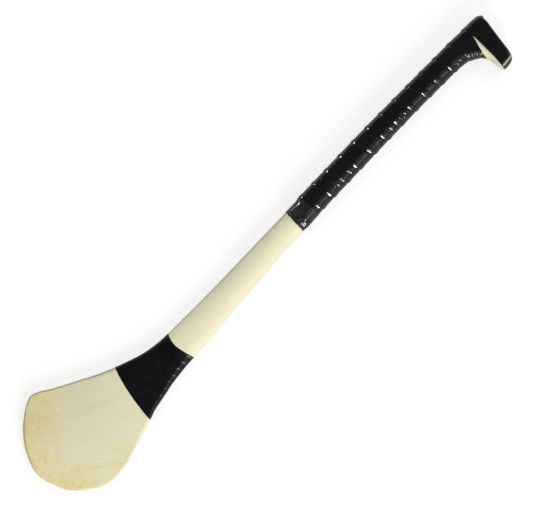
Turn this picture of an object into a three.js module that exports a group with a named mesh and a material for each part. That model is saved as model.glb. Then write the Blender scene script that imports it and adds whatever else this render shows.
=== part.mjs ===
// A junior hurley: an ash stick with a flat bas, a hooked butt, a wound grip strip and two wound tapes.
// Millimetres. +Y runs from the toe of the bas to the butt, +X to the hook, +Z out of the front face.
// The stick lies on the back face of its bas and on its grip, as it would on a table.

import * as THREE from "three";

// Lengths along the stick
const overallLength = 711;
const basLength = 162;
const neckLength = 63;
const gripLength = 309;
const headLength = 62;

// Widths of the bare wood
const basWidth = 132.4;
const neckWidth = 38.2;
const shaftWidth = 29.4;
const handleWidth = 26.5;
const headWidth = 61.5;

// Thicknesses of the bare wood
const toeThickness = 10.4;
const neckThickness = 13.2;
const neckTopThickness = 15.8;
const shaftThickness = 19.8;
const handleThickness = 21.2;
const hookThickness = 19.6;

// Rounding of the wood: how far its rounded rims reach in from the outline
const basRim = 8.5;
const hookRim = 8.5;
const buttEase = 1;

// The flat back of the bas ends this far above the toe, and the grip meets the table
// this far above its foot
const basFlatLength = 92;
const gripRestDistance = 36;

// What every wound piece keeps from the wood
const windingClearance = 0.35;

// Grip strip: one unbroken strip, wound from its foot up to the butt, each turn lapped over the last
const stripWidth = 25;
const stripPitch = 21.3;
const stripThickness = 1.1;
const stripEdgeThickness = 0.45;
const stripSkive = 6;
const stripSelfClearance = 0.6;
const stripTopSeamDrop = 49;
const stripButtMargin = 3;
const stripHeadSlack = 0.6;

// Finishing tape that closes the foot of the grip
const finishingTapeWidth = 14;
const finishingTapeThickness = 0.7;
const finishingTapeTilt = 1.9;
const finishingTapeGap = 0.3;

// Neck tape
const neckTapeStart = 146.6;
const neckTapeEnd = 214.6;
const neckTapeThickness = 0.35;
const neckTapeTilt = 15.6;
const neckTapeSag = 2.1;
const neckTapeDip = 5;

// How finely the rounded surfaces are faceted
const ringSides = 32;
const outlineSamples = 420;
const rimSamples = 48;
const stripStepsPerTurn = 24;
const neckTapeRows = 8;
const finishingTapeRows = 2;
const rowSearchSteps = 40;

// Rows of the bas below this share of its length are twice as close, and each rim takes this share
// of the points of a section
const fineBasShare = 0.7;
const rimPointShare = 0.58;

// Outline of the bas: height above the toe, left edge, right edge, as shares of its length and width
const basOutlineShares = [
  [0, -0.11, -0.11],
  [0.0018, -0.147, -0.073],
  [0.0085, -0.19, -0.029],
  [0.027, -0.25, 0.038],
  [0.053, -0.316, 0.121],
  [0.086, -0.375, 0.181],
  [0.13, -0.44, 0.239],
  [0.179, -0.498, 0.285],
  [0.225, -0.54, 0.325],
  [0.272, -0.579, 0.354],
  [0.318, -0.607, 0.372],
  [0.358, -0.622, 0.377],
  [0.398, -0.61, 0.375],
  [0.438, -0.582, 0.369],
  [0.494, -0.535, 0.356],
  [0.556, -0.491, 0.336],
  [0.63, -0.44, 0.312],
  [0.691, -0.4, 0.29],
  [0.753, -0.356, 0.27],
  [0.815, -0.317, 0.246],
  [0.883, -0.279, 0.221],
  [0.938, -0.249, 0.209],
  [1, -0.219, 0.197],
];

// Outline of the neck, as shares of its length and of its width at the top
const neckOutlineShares = [
  [0.216, -0.631, 0.618],
  [0.429, -0.545, 0.581],
  [0.635, -0.492, 0.555],
  [0.81, -0.471, 0.545],
  [1, -0.458, 0.54],
];

// Outline of the bare shaft, as shares of its length and width
const shaftOutlineShares = [
  [0.085, -0.582, 0.68],
  [0.181, -0.561, 0.656],
  [0.305, -0.541, 0.605],
  [0.424, -0.527, 0.571],
  [0.537, -0.524, 0.534],
  [0.678, -0.52, 0.503],
  [0.819, -0.514, 0.476],
  [0.966, -0.503, 0.446],
];

// Outline of the handle under the grip, as shares of its length and width
const handleOutlineShares = [
  [0.04, -0.555, 0.468],
  [0.154, -0.555, 0.45],
  [0.275, -0.547, 0.453],
  [0.397, -0.543, 0.46],
  [0.518, -0.532, 0.464],
  [0.64, -0.502, 0.475],
  [0.761, -0.475, 0.487],
  [0.862, -0.453, 0.517],
  [0.947, -0.425, 0.54],
];

// Head, left and right edge of each section: drop below the top of the butt, then place across,
// as shares of the head's length and width. The right edge runs out along the hook.
const headOutlineShares = [
  [0.984, -0.177, 1.016, 0.242],
  [0.823, -0.174, 0.847, 0.263],
  [0.694, -0.169, 0.702, 0.309],
  [0.581, -0.161, 0.571, 0.403],
  [0.5, -0.156, 0.506, 0.528],
  [0.435, -0.153, 0.484, 0.691],
  [0.387, -0.15, 0.468, 0.802],
  [0.339, -0.148, 0.42, 0.85],
  [0.258, -0.145, 0.335, 0.852],
  [0.161, -0.137, 0.258, 0.838],
  [0.075, -0.123, 0.197, 0.803],
  [0.024, -0.104, 0.166, 0.774],
  [0, -0.087, 0.151, 0.75],
];

// The strip near the butt, by turns from the left edge below its top seam: drop of its lower edge
// below the top of the butt, as shares of the head's length
const lapLowerShares = [
  [-1, 1.31],
  [-0.5, 1.133],
  [0, 0.912],
  [0.25, 0.845],
  [0.5, 0.79],
  [0.75, 0.665],
  [1, 0.49],
  [1.1, 0.4],
  [1.25, 0.36],
  [1.5, 0.35],
  [1.93, 0.37],
];

// How far the top turn's upper edge draws away from the lap above it, as shares of the head's length
const lapOpeningShares = [
  [0, 0],
  [0.1, 0.005],
  [0.16, 0.03],
  [0.19, 0.075],
  [0.25, 0.19],
  [0.3, 0.24],
  [0.5, 0.255],
];

// Turns at which the strip begins to ride on the turn below, lies flat again, climbs to the butt,
// lies on its own turn as a second layer and bridges the round corners of the head
const footRiseShares = [0.7, 0.95];
const apexFallShares = [1.17, 1.3];
const climbShares = [0.5, 1];
const secondLayerShares = [1.5, 1.64];
const headSlackShares = [0, 0.2];
const stripEndTurnShare = 1.86;

// Smooth step between two places
function ease(from, to, x) {
  return THREE.MathUtils.smoothstep(x, from, to);
}

// Smooth curve through a table of places and values
function smoothThrough(table, x) {
  const last = table.length - 1;
  if (x <= table[0][0]) return table[0][1];
  if (x >= table[last][0]) return table[last][1];
  const slopeAt = (i) => {
    const before = table[Math.max(i - 1, 0)];
    const after = table[Math.min(i + 1, last)];
    return (after[1] - before[1]) / (after[0] - before[0]);
  };
  const i = table.findIndex((row) => row[0] > x) - 1;
  const span = table[i + 1][0] - table[i][0];
  const s = (x - table[i][0]) / span;
  const start = table[i][1] * (1 + 2 * s) * (1 - s) ** 2 + slopeAt(i) * span * s * (1 - s) ** 2;
  const end = table[i + 1][1] * (3 - 2 * s) * s ** 2 - slopeAt(i + 1) * span * (1 - s) * s ** 2;
  return start + end;
}

// Levels along the stick, measured from the toe
const neckTopLevel = basLength + neckLength;
const gripFootLevel = overallLength - gripLength;
const headFootLevel = overallLength - headLength;
const shaftLength = gripFootLevel - neckTopLevel;
const handleLength = gripLength - headLength;

// Left and right edges of the wood, paired row by row
const leftRows = [];
const rightRows = [];

function addRows(shares, foot, length, width) {
  for (const [alongShare, leftShare, rightShare] of shares) {
    leftRows.push(new THREE.Vector3(leftShare * width, foot + alongShare * length, 0));
    rightRows.push(new THREE.Vector3(rightShare * width, foot + alongShare * length, 0));
  }
}

addRows(basOutlineShares, 0, basLength, basWidth);
addRows(neckOutlineShares, basLength, neckLength, neckWidth);
addRows(shaftOutlineShares, neckTopLevel, shaftLength, shaftWidth);
addRows(handleOutlineShares, gripFootLevel, handleLength, handleWidth);
for (const [leftDrop, leftShare, rightDrop, rightShare] of headOutlineShares) {
  leftRows.push(new THREE.Vector3(leftShare * headWidth, overallLength - leftDrop * headLength, 0));
  rightRows.push(new THREE.Vector3(rightShare * headWidth, overallLength - rightDrop * headLength, 0));
}

const leftEdge = new THREE.CatmullRomCurve3(leftRows);
const rightEdge = new THREE.CatmullRomCurve3(rightRows);
const rowCount = leftRows.length;

// Row place, from 0 at the toe to 1 at the butt, at which the left edge reaches a level
function rowAt(level) {
  let low = 0;
  let high = 1;
  for (let i = 0; i < rowSearchSteps; i += 1) {
    const middle = (low + high) / 2;
    if (leftEdge.getPoint(middle).y < level) low = middle;
    else high = middle;
  }
  return (low + high) / 2;
}

// Signed depth of a place inside the outline, positive in the wood
const leftLine = leftEdge.getPoints(outlineSamples);
const rightLine = rightEdge.getPoints(outlineSamples);

function depthFrom(line, side, x, y) {
  let best = Infinity;
  let sign = 1;
  for (let i = 0; i < line.length - 1; i += 1) {
    const ax = line[i].x;
    const ay = line[i].y;
    const bx = line[i + 1].x - ax;
    const by = line[i + 1].y - ay;
    const along = THREE.MathUtils.clamp(((x - ax) * bx + (y - ay) * by) / (bx * bx + by * by), 0, 1);
    const gap = Math.hypot(x - ax - along * bx, y - ay - along * by);
    if (gap < best) {
      best = gap;
      sign = Math.sign(bx * (y - ay) - by * (x - ax)) * side;
    }
  }
  return best * (sign || 1);
}

function depthInside(x, y) {
  const fromLeft = depthFrom(leftLine, -1, x, y);
  const fromRight = depthFrom(rightLine, 1, x, y);
  return Math.abs(fromLeft) < Math.abs(fromRight) ? fromLeft : fromRight;
}

// The middle plane climbs from the toe, so that the bas's back is flat on the table
// while the thicker grip just clears it
const stripOverlap = stripWidth - stripPitch;
const stripStepHeight = (stripThickness * stripOverlap) / stripSkive;
const stripLift = stripStepHeight + stripSelfClearance;
const stripRidge = windingClearance + stripLift + stripEdgeThickness;
const gripRestLevel = gripFootLevel + gripRestDistance;
const restSlope = (handleThickness / 2 + stripRidge - toeThickness / 2) / gripRestLevel;

function middleHeight(level) {
  return toeThickness / 2 + restSlope * level;
}

const halfThicknessTable = [
  [basFlatLength / 2, middleHeight(basFlatLength / 2)],
  [basFlatLength, middleHeight(basFlatLength)],
  [neckTapeStart - neckTapeTilt, neckThickness / 2],
  [basLength, neckThickness / 2],
  [neckTopLevel, neckTopThickness / 2],
  [gripFootLevel, shaftThickness / 2],
  [gripFootLevel + headLength, handleThickness / 2],
  [headFootLevel, handleThickness / 2],
  [overallLength, hookThickness / 2],
];

function halfThickness(level) {
  if (level <= basFlatLength) return middleHeight(level);
  const ending = ease(overallLength - 2 * buttEase, overallLength, level);
  return smoothThrough(halfThicknessTable, level) - buttEase * ending;
}

const rimTable = [
  [basFlatLength, basRim],
  [basLength, neckWidth / 3],
  [neckTopLevel, neckWidth / 2],
  [gripFootLevel, shaftWidth / 2],
  [headFootLevel, headWidth / 4],
  [overallLength - headLength / 2, hookRim],
  [overallLength, hookRim],
];

// One section of the wood at a row place
const sectionCache = new Map();

function sectionAt(row) {
  if (sectionCache.has(row)) return sectionCache.get(row);
  const left = leftEdge.getPoint(row);
  const right = rightEdge.getPoint(row);
  const leftTangent = leftEdge.getTangent(row);
  const rightTangent = rightEdge.getTangent(row);
  const level = left.y;
  const width = left.distanceTo(right);
  const direction = new THREE.Vector3().subVectors(right, left).divideScalar(width || 1);
  const depths = [];
  for (let i = 0; i <= rimSamples; i += 1) {
    const place = left.clone().addScaledVector(direction, (i / rimSamples) * width);
    depths.push(Math.max(depthInside(place.x, place.y), 0));
  }
  const rim = Math.min(smoothThrough(rimTable, level), Math.max(...depths));
  const firstDeep = (list) => {
    const i = list.findIndex((depth) => depth >= rim);
    return Math.min(i / rimSamples, 1 / 2);
  };
  const section = {
    left,
    right,
    leftNormal: new THREE.Vector3(-leftTangent.y, leftTangent.x, 0),
    rightNormal: new THREE.Vector3(rightTangent.y, -rightTangent.x, 0),
    half: halfThickness(level),
    middle: middleHeight(level),
    rim,
    leftRimShare: firstDeep(depths),
    rightRimShare: firstDeep([...depths].reverse()),
  };
  sectionCache.set(row, section);
  return section;
}

// Share of the way across a section for a share of the way round: close points on the rims
function acrossShare(round, rimShare) {
  const slender = 2 * rimShare;
  const rimEnd = rimPointShare + (1 - rimPointShare) * slender;
  if (round <= rimEnd) return rimShare * (1 - Math.cos(((round / rimEnd) * Math.PI) / 2));
  return rimShare + ((1 / 2 - rimShare) * (round - rimEnd)) / (1 - rimEnd);
}

// Share of the way across a section for a share of the way round it. The way round starts at the
// left edge and crosses the front first.
function acrossAt(section, turnShare) {
  const fromLeft = turnShare <= 1 / 2 ? 2 * turnShare : 2 - 2 * turnShare;
  const nearLeft = fromLeft <= 1 / 2;
  const round = 2 * Math.min(fromLeft, 1 - fromLeft);
  const across = acrossShare(round, nearLeft ? section.leftRimShare : section.rightRimShare);
  return nearLeft ? across : 1 - across;
}

// A point at a row place and a share of the way round, at an offset out from the wood
function surfacePoint(row, turnShare, offset) {
  const section = sectionAt(row);
  const left = section.left.clone().addScaledVector(section.leftNormal, offset);
  const right = section.right.clone().addScaledVector(section.rightNormal, offset);
  const share = turnShare - Math.floor(turnShare);
  const front = share <= 1 / 2;
  const across = acrossAt(section, share);
  const place = left.clone().lerp(right, across);
  const onEdge = across === 0 || across === 1;
  const depth = onEdge ? 0 : Math.max(depthInside(place.x, place.y) + offset, 0);
  const inward = 1 - Math.min(depth / (section.rim + offset), 1);
  const height = (section.half + offset) * Math.sqrt(1 - inward * inward);
  return new THREE.Vector3(place.x, place.y, section.middle + (front ? height : -height));
}

// Closed skin over a row of rings. Each ring is a closed loop of as many points.
function skin(rings, ends) {
  const positions = [];
  const indices = [];
  const sides = rings[0].length;
  for (const ring of rings) {
    for (const point of ring) positions.push(point.x, point.y, point.z);
  }
  const last = ends ? rings.length - 1 : rings.length;
  for (let i = 0; i < last; i += 1) {
    const here = i * sides;
    const next = ((i + 1) % rings.length) * sides;
    for (let j = 0; j < sides; j += 1) {
      const k = (j + 1) % sides;
      indices.push(here + j, here + k, next + k);
      indices.push(here + j, next + k, next + j);
    }
  }
  if (ends) {
    const top = (rings.length - 1) * sides;
    const startPoint = positions.length / 3;
    positions.push(ends.start.x, ends.start.y, ends.start.z);
    positions.push(ends.end.x, ends.end.y, ends.end.z);
    for (let j = 0; j < sides; j += 1) {
      const k = (j + 1) % sides;
      indices.push(startPoint, k, j);
      indices.push(startPoint + 1, top + j, top + k);
    }
  }
  const geometry = new THREE.BufferGeometry();
  geometry.setAttribute("position", new THREE.Float32BufferAttribute(positions, 3));
  geometry.setIndex(indices);
  geometry.computeVertexNormals();
  return geometry;
}

// Ash stick: sections from the toe to the sawn end of the butt
function ashStickGeometry() {
  const rings = [];
  const headStart = rowCount - headOutlineShares.length;
  for (let i = 0; i < rowCount - 1; i += 1) {
    const fine = leftRows[i].y < fineBasShare * basLength || i >= headStart - 1;
    const steps = fine ? 2 : 1;
    for (let step = 0; step < steps; step += 1) {
      if (i + step > 0) rings.push((i + step / steps) / (rowCount - 1));
    }
  }
  rings.push(1);
  const loops = rings.map((row) => {
    const loop = [];
    for (let j = 0; j < ringSides; j += 1) loop.push(surfacePoint(row, j / ringSides, 0));
    return loop;
  });
  const toe = leftEdge.getPoint(0).setZ(middleHeight(0));
  const endGrain = leftEdge.getPoint(1).lerp(rightEdge.getPoint(1), 1 / 2);
  endGrain.setZ(sectionAt(1).middle);
  return skin(loops, { start: toe, end: endGrain });
}

// Wound band: from one level line to another, each given for a share of the way across the front
function bandGeometry(lowLevel, highLevel, thickness, rowsAcross) {
  const rings = [];
  const inner = windingClearance;
  const outer = windingClearance + thickness;
  const middle = sectionAt(rowAt((lowLevel(1 / 2) + highLevel(1 / 2)) / 2));
  for (let j = 0; j < ringSides; j += 1) {
    const turnShare = j / ringSides;
    const across = acrossAt(middle, turnShare);
    const low = rowAt(lowLevel(across));
    const high = rowAt(highLevel(across));
    const loop = [];
    for (let i = 0; i <= rowsAcross; i += 1) {
      loop.push(surfacePoint(low + ((high - low) * i) / rowsAcross, turnShare, inner));
    }
    for (let i = rowsAcross; i >= 0; i -= 1) {
      loop.push(surfacePoint(low + ((high - low) * i) / rowsAcross, turnShare, outer));
    }
    rings.push(loop);
  }
  return skin(rings, null);
}

function neckTapeGeometry() {
  const fromMiddle = (across) => Math.abs(2 * across - 1);
  const sag = (across) => neckTapeSag * (1 - fromMiddle(across) ** 2);
  const low = (across) => neckTapeStart - neckTapeTilt * across - sag(across);
  const high = (across) => neckTapeEnd - neckTapeDip * (1 - fromMiddle(across));
  return bandGeometry(low, high, neckTapeThickness, neckTapeRows);
}

function finishingTapeGeometry() {
  const low = (across) => gripFootLevel - finishingTapeTilt * across;
  const high = () => gripFootLevel + finishingTapeWidth;
  return bandGeometry(low, high, finishingTapeThickness, finishingTapeRows);
}

// Grip strip. Turns are counted from the left edge below the top seam, so the foot has a negative turn.
const stripFootLevel = gripFootLevel + finishingTapeWidth + finishingTapeGap;
const topSeamLevel = overallLength - stripTopSeamDrop;
const stripStartTurn = (stripFootLevel - topSeamLevel) / stripPitch - 1 / 2;

function stripLower(turn) {
  const wound = topSeamLevel + stripPitch * (turn - 1 / 2);
  const lap = overallLength - smoothThrough(lapLowerShares, turn) * headLength;
  return Math.max(wound + (lap - wound) * ease(-1, 0, turn), stripFootLevel);
}

function stripUpper(turn) {
  const butt = overallLength - stripButtMargin;
  const wound = Math.min(turn, climbShares[0]);
  const opening = smoothThrough(lapOpeningShares, wound) * headLength;
  const joint = stripLower(wound + 1) + stripOverlap - opening;
  return joint + (butt - joint) * ease(...climbShares, turn);
}

function stripSection(turn) {
  const lower = stripLower(turn);
  const width = stripUpper(turn) - lower;
  const fromStart = turn - stripStartTurn;
  const rides = ease(...footRiseShares, fromStart) * (1 - ease(...apexFallShares, turn));
  const layer = (stripThickness + stripSelfClearance) * ease(...secondLayerShares, turn);
  const base = windingClearance + stripHeadSlack * ease(...headSlackShares, turn) + layer;
  const rideWidth = (stripSkive * stripLift) / stripThickness;
  const ramp = Math.min(rideWidth * rides + (stripSkive / 3) * (1 - rides), width / 2);
  const flatEnd = Math.max(width - stripSkive, (ramp + width) / 2);
  const middle = (ramp + flatEnd) / 2;
  const topAt = (across) => base + stripThickness * Math.min((width - across) / stripSkive, 1);
  const profile = [
    [0, base + stripLift * rides],
    [ramp, base],
    [middle, base],
    [(flatEnd + width) / 2, base],
    [width, base],
    [flatEnd, topAt(flatEnd)],
    [middle, topAt(middle)],
    [ramp, topAt(ramp)],
    [0, base + stripLift * rides + stripEdgeThickness],
  ];
  return profile.map(([across, offset]) => surfacePoint(rowAt(lower + across), turn, offset));
}

// Least gap between two loops of points, taken from the corners of each to the sides of the other
function loopGap(first, second) {
  let least = Infinity;
  const side = new THREE.Line3();
  const nearest = new THREE.Vector3();
  for (const [corners, sides] of [[first, second], [second, first]]) {
    for (let i = 0; i < sides.length; i += 1) {
      side.set(sides[i], sides[(i + 1) % sides.length]);
      for (const corner of corners) {
        side.closestPointToPoint(corner, true, nearest);
        least = Math.min(least, nearest.distanceTo(corner));
      }
    }
  }
  return least;
}

function gripStripGeometry() {
  const turns = stripEndTurnShare - stripStartTurn;
  const steps = Math.round(turns * stripStepsPerTurn);
  const loops = [];
  for (let i = 0; i <= steps; i += 1) {
    loops.push(stripSection(stripStartTurn + (turns * i) / steps));
  }
  let leastGap = Infinity;
  loops.forEach((loop, i) => {
    for (const back of [-1, 0, 1]) {
      const below = loops[i - stripStepsPerTurn + back];
      if (below) leastGap = Math.min(leastGap, loopGap(loop, below));
    }
  });
  console.log(`grip strip: ${turns.toFixed(1)} turns, least gap to itself ${leastGap.toFixed(2)} mm`);
  const middleOf = (loop) => loop[2].clone().add(loop[6]).divideScalar(2);
  return skin(loops, { start: middleOf(loops[0]), end: middleOf(loops[loops.length - 1]) });
}

// Finishes
const ashWood = new THREE.MeshStandardMaterial({ color: "#ddcfa6", roughness: 0.55, metalness: 0 });
const gripPolyurethane = new THREE.MeshStandardMaterial({ color: "#1c1c1f", roughness: 0.32, metalness: 0 });
const glossTape = new THREE.MeshStandardMaterial({ color: "#111113", roughness: 0.25, metalness: 0 });
const satinTape = new THREE.MeshStandardMaterial({ color: "#0e0e10", roughness: 0.45, metalness: 0 });

const hurley = new THREE.Group();

function addPiece(name, geometry, material) {
  const mesh = new THREE.Mesh(geometry, material);
  mesh.name = name;
  hurley.add(mesh);
  return mesh;
}

addPiece("ash_stick", ashStickGeometry(), ashWood);
addPiece("neck_tape", neckTapeGeometry(), satinTape);
addPiece("finishing_tape", finishingTapeGeometry(), glossTape);
addPiece("grip_strip", gripStripGeometry(), gripPolyurethane);

// The origin is below the middle of the whole stick, on the surface that it lies on
const bounds = new THREE.Box3().setFromObject(hurley, true);
const centre = bounds.getCenter(new THREE.Vector3());
hurley.position.set(-centre.x, -centre.y, -bounds.min.z);
hurley.updateMatrixWorld(true);

export default hurley;
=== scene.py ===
import math

import bmesh
import bpy
import numpy as np
from mathutils import Matrix, Vector, noise


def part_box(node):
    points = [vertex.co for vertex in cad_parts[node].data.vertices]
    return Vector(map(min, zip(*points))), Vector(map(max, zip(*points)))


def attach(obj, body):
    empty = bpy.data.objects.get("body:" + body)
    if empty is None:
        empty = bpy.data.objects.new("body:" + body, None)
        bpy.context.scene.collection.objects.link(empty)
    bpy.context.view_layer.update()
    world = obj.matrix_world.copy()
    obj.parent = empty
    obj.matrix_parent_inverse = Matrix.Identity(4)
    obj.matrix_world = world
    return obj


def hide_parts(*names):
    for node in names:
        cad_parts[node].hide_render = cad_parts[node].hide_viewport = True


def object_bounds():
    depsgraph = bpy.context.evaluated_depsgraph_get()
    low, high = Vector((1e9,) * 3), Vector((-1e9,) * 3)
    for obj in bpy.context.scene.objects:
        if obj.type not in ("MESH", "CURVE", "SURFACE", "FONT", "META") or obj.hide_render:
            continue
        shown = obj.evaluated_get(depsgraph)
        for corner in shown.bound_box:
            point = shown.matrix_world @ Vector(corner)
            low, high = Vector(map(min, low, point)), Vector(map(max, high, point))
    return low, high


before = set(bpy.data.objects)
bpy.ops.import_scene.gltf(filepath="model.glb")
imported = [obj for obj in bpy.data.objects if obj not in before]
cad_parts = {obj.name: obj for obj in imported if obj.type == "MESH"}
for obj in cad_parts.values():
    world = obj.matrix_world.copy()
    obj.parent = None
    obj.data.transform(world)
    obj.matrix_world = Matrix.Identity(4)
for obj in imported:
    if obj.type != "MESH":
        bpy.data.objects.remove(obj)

cad_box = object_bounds()

# Sizes in millimetres, turned to metres by MM. A level is the distance from the toe along the stick,
# and a turn of 0 lies at its left edge and one of 0.5 at its right edge, past the front.
MM = 0.001

# The stick
stick_low, stick_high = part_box("ash_stick")
TOE_Y = stick_low.y
OVERALL_LENGTH = (stick_high.y - stick_low.y) / MM
GRIP_LENGTH = 309
HEAD_LENGTH = 62
GRIP_FOOT = OVERALL_LENGTH - GRIP_LENGTH
BUTT = OVERALL_LENGTH

# The rounding at the bas's rims: how far in it reaches, at most which share of half the width, and
# how much of it is left, by level
RIM_REACH = 10.4
RIM_REACH_SHARE = 0.75
RIM_SHARES = [
    (0, 1), (3, 0.9), (9, 0.52), (20, 0.42), (150, 0.42), (190, 0.6), (235, 0.97), (250, 1),
]

# The sawn end: how far it sits below the full length, over which last length it goes down, and the
# places across between which it comes up again by a share towards the hook's tip. What is wound on
# turns in over the last millimetres, and rises by a share of what goes past the end.
END_DROP = 1.1
END_DROP_REACH = (14, 1)
END_DROP_FADE = (42, 66)
END_DROP_LOSS_SHARE = 0.7
END_TURN_IN = 3
END_RISE_SHARE = 0.3

# The grip strip
STRIP_PITCH = 21.3
STRIP_WIDTH = 25
STRIP_THICKNESS = 1.1
STRIP_SKIVE = 6
STRIP_TOP_SEAM_DROP = 49
STRIP_FOOT_RISE = 11.5
STRIP_FOOT_LEAN = 8.5
STRIP_LAST_TURN = 1.86
STRIP_BED = 0.3
STRIP_EDGE = 0.25
STRIP_TRIM = 0.8
STRIP_CORNER = 1.6
STRIP_CORNER_TURN = (1.13, 0.05)
STRIP_SLACK = 0.3
STRIP_SLACK_TURNS = (0, 0.2)
STRIP_LAYER_GAP = 0.15
STRIP_LONE_EDGE = 0.15
STRIP_LONE_EDGE_REACH = 0.5
STRIP_UNDERSIDE_PRESS = 0.05
STRIP_UNDERSIDE_BED = 0.08
SEAM_FLATTENING = 0.3
TOP_SEAM = OVERALL_LENGTH - STRIP_TOP_SEAM_DROP
STRIP_FOOT = GRIP_FOOT + STRIP_FOOT_RISE
STRIP_OVERLAP = STRIP_WIDTH - STRIP_PITCH

# The raised lip along its lower edge: an even slope for a share of the way to the crest, then round
LIP_HEIGHT = 2
LIP_CREST = 3.4
LIP_END = 8.5
LIP_SLOPE_SHARE = 0.7
LIP_SLOPE = 2 / (1 + LIP_SLOPE_SHARE)
LIP_ROUNDING = LIP_SLOPE / (2 * (1 - LIP_SLOPE_SHARE))
LIP_PUFF_SHARE = 0.06
LIP_PUFFS_PER_TURN = 1.9
# Heights on the lip over which its crest turns paler and glossier, and by how much
LIP_PALE_HEIGHTS = (1.5, 2)
LIP_PALE_SHARE = 0.25

# The finishing tape
FINISHING_TAPE_RISE = 23.5
FINISHING_TAPE_TILT = 1.9
FINISHING_TAPE_BED = 0.35
FINISHING_TAPE_STEP = 0.3
FINISHING_TAPE_LAYER = 0.15
FINISHING_TAPE_TURNS = 8.6
FINISHING_TAPE_CLIMB = 1.3
FINISHING_TAPE_CLIMB_REACH = (5, 3)
FINISHING_TAPE_BEADED_SHARES = (0.5, 0.66)
FINISHING_TAPE_END_SHARE = 0.994

# The shares of a turn between which its beads are pressed flat, and how much of them goes
PRESSED_START_SHARES = (0.24, 0.38)
PRESSED_END_SHARES = (0.62, 0.8)
PRESSED_SHARE = 0.8

# The neck tape, and the shares of a turn between which its edges stand up at the rim and carry a painted
# highlight
NECK_TAPE_START = 146.6
NECK_TAPE_END = 214.6
NECK_TAPE_TILT = 16
NECK_TAPE_SAG = 1.9
NECK_TAPE_DIP = 4.4
NECK_TAPE_BED = 0.3
NECK_TAPE_STEP = 0.13
NECK_TAPE_TURNS = 9.4
NECK_TAPE_LEAD_SHARE = 0.28
NECK_RIM_START_SHARES = (0.3, 0.35)
NECK_RIM_END_SHARES = (0.43, 0.49)

# The strip near the butt: turns from the left edge below its top seam, then the drop of its lower
# edge below the butt, as shares of the head's length
LAP_LOWER_SHARES = [
    (-1, 1.31), (-0.5, 1.133), (0, 0.912), (0.25, 0.845), (0.5, 0.79), (0.75, 0.665),
    (1, 0.5), (1.1, 0.425), (1.25, 0.365), (1.5, 0.352), (1.93, 0.37),
]

# The opening over bare wood at the hook: how far it lowers the upper edge, in the same shares
LAP_OPENING_SHARES = [
    (0, 0), (0.1, 0.002), (0.14, 0.015), (0.19, 0.07), (0.22, 0.105),
    (0.25, 0.147), (0.3, 0.187), (0.35, 0.207), (0.4, 0.215), (0.5, 0.23),
]

# Where a pale highlight is painted on the strip over the bend at the hook's tip: place across, level,
# lean, half width and the half length that it keeps
HOOK_BEND = (62.9, 337.5, 0.11, 0.7, 8)

# How far the hand-wound seams wander, in millimetres, by turn
SEAM_WANDER = [
    (-12, 2), (-11, 2.6), (-10.67, 4.4), (-10, 2), (-9.67, 1.4), (-9, 1), (-8.67, 1.8),
    (-8, 1.7), (-7.67, 1.5), (-7, 1.9), (-6.67, 3), (-6, 2.6), (-5.67, 3.4), (-5, 2.6),
    (-4.67, 3.6), (-4, 3), (-3.67, 4.8), (-3, 3.2), (-2.67, 5), (-2, 2.6), (-1.67, 3.2),
    (-1, 2.8), (-0.67, 3.9), (0, 2.6), (0.33, 3.3), (0.6, 2), (1, 0),
]

# Folds of the grip's front that the hand has pressed in: level, place across, turn of the ridge in
# degrees from the line across, half its length and the width of its slope towards the bas
FOLDS = [
    (465, 21.8, 15, 3, 2), (479.4, 18, -27, 4.2, 1.8), (484.4, 20.8, 17, 5.4, 2),
    (477.4, 20.6, 10, 1.8, 1.7), (461.4, 13.2, 50, 1.6, 2), (454.5, 3.6, -58, 2.6, 1.5),
    (444.5, 0.8, -50, 1.2, 1.4), (449.5, 1.2, -50, 1.2, 1.4), (453.4, 0.8, -50, 1.2, 1.4),
    (480, 1, -50, 1.2, 1.4), (452.6, 22.2, 10, 2, 1.1), (456, 20.8, -20, 1.6, 1),
    (461.2, 19.4, 10, 1.4, 1.4), (543.8, 22.2, 22, 2.8, 1.8), (550.2, 20.6, 8, 3.4, 2.2),
    (565.4, 19.6, 10, 1.5, 1.9), (566.2, 22.6, 0, 1.4, 1.4), (569.8, 23.4, 10, 1.8, 2),
    (573, 20, 10, 2.3, 2), (598.6, 19.6, 0, 3.2, 0.9), (607, 22, 10, 1.4, 1.6),
    (652.6, 26.2, -30, 2, 1.7), (658, 25, 35, 2, 1.8), (668.8, 28.2, -35, 3.6, 1.6),
    (672.8, 30.6, -38, 4, 1.8), (677.4, 34, -42, 3.6, 1.6), (523.6, 22, 5, 3, 0.8),
    (627.4, 24, 5, 2.6, 0.9), (501.4, 22.5, -5, 4, 0.8), (506.8, 22.8, 0, 4, 0.8),
]
FOLD_SLOPE = 0.31
FOLD_BACK_SHARE = 0.7

# How far from the strip's lower and upper edges the folds and creases are at full height, and where
# its film begins to hang slack above the lip
FOLD_EDGE_REACH = (1.5, 2)
SLACK_FILM_REACH = (2, 6)

# Creased places: level, place across, reach along, reach across and depth, in millimetres
FRONT_CREASES = [
    (543, 21, 9, 8, 0.05), (568, 21, 8, 8, 0.05), (478, 18, 12, 11, 0.05), (455, 12, 10, 15, 0.07),
    (673, 32, 8, 9, 0.08), (652, 24, 8, 6, 0.06), (600, 20, 8, 6, 0.05), (620, 22, 8, 6, 0.05),
    (520, 20, 10, 6, 0.05), (440, 21, 8, 7, 0.06),
]
BACK_CREASES = [
    (630, 17, 12, 9, 0.3), (540, 8, 14, 9, 0.32), (470, 18, 12, 10, 0.34), (582, 21, 8, 6, 0.28),
    (676, 31, 9, 9, 0.4), (505, 3, 8, 6, 0.2),
]
CREASE_SIZE = 4.6
CREASE_FULL_DEPTH = 0.45
CREASE_SHARPNESS = 3.2

# Points this near to each other are one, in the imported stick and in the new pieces
STICK_WELD = 0.01
PIECE_WELD = 0.002


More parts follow.
